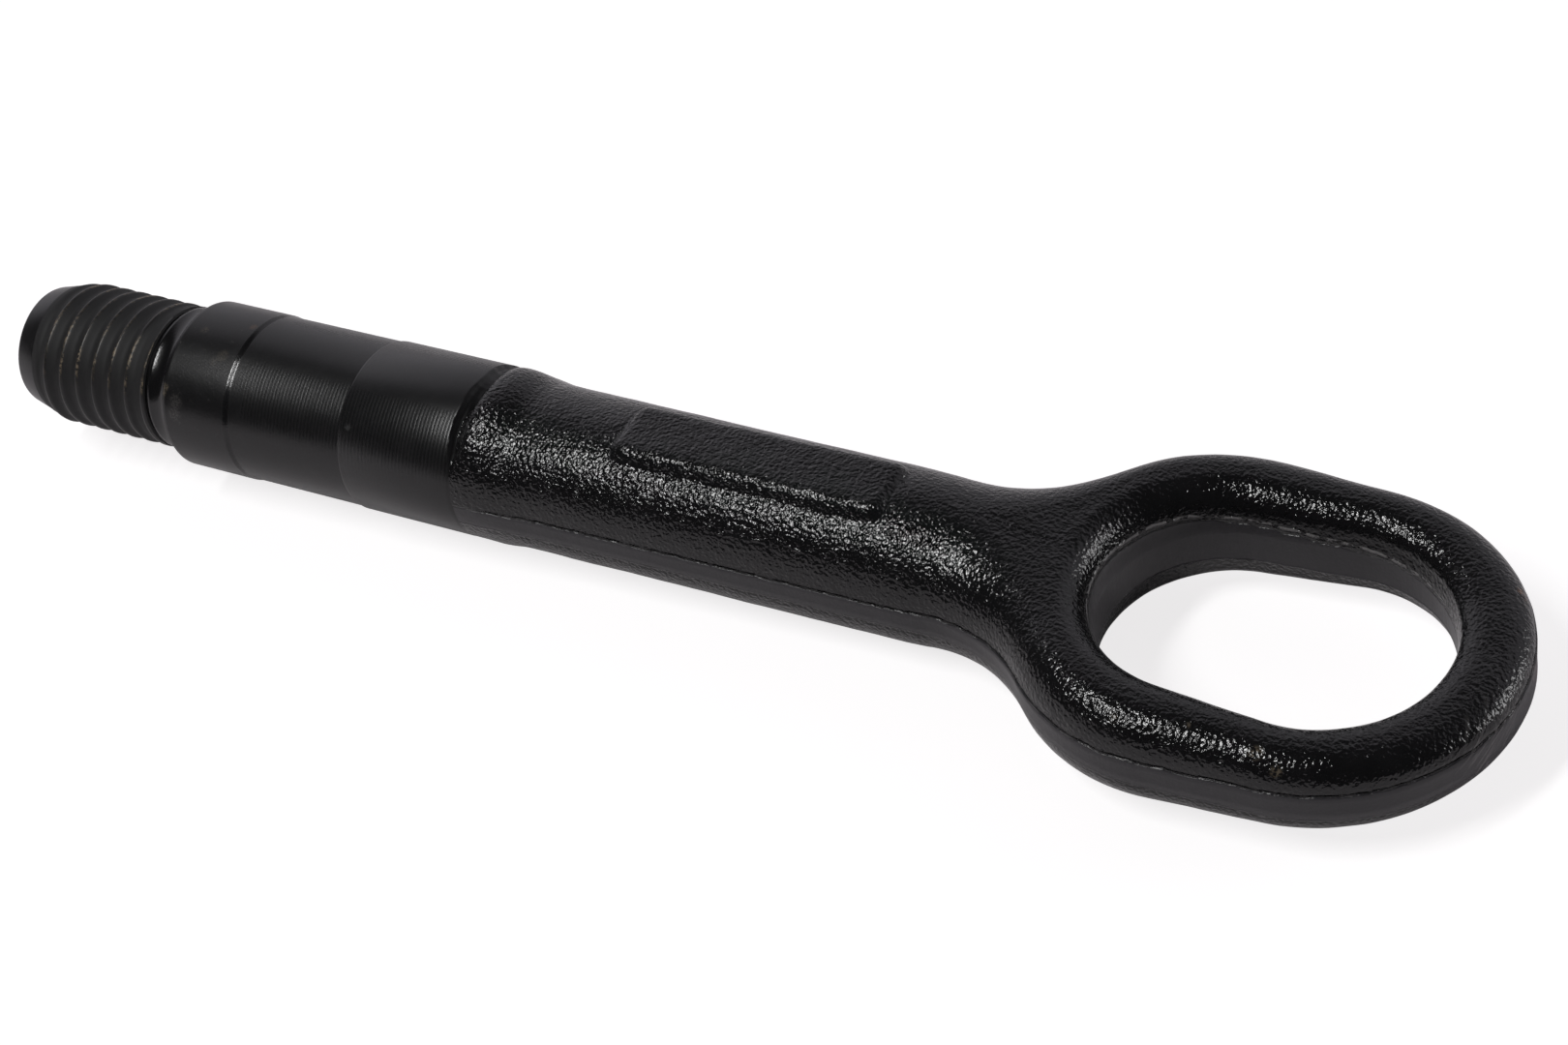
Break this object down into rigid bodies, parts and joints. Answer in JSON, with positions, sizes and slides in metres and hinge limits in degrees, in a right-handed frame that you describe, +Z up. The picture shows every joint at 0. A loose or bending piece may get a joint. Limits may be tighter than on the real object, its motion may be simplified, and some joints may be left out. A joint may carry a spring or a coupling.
{
  "type": "screw-in towing eye",
  "caption": "Forged steel towing eye: threaded end, turned guide collar, round shank with a flat pad, and a flat oval eye for a shackle, hook or rope.",
  "frame": {"origin": "on the axis of the screw, at the front edge of the guide collar, where the front guide land starts", "axes": "+X along the axis from the thread to the eye, +Y across the eye in its own plane, +Z up, out of the flat pad"},
  "size_m": [0.1859, 0.0426, 0.02],
  "materials": {
    "black_steel": "black coated forged steel, semi-gloss, with a fine pebbled skin"
  },
  "bodies": {
    "root": {"tow_eye": "black_steel"}
  },
  "joints": []
}
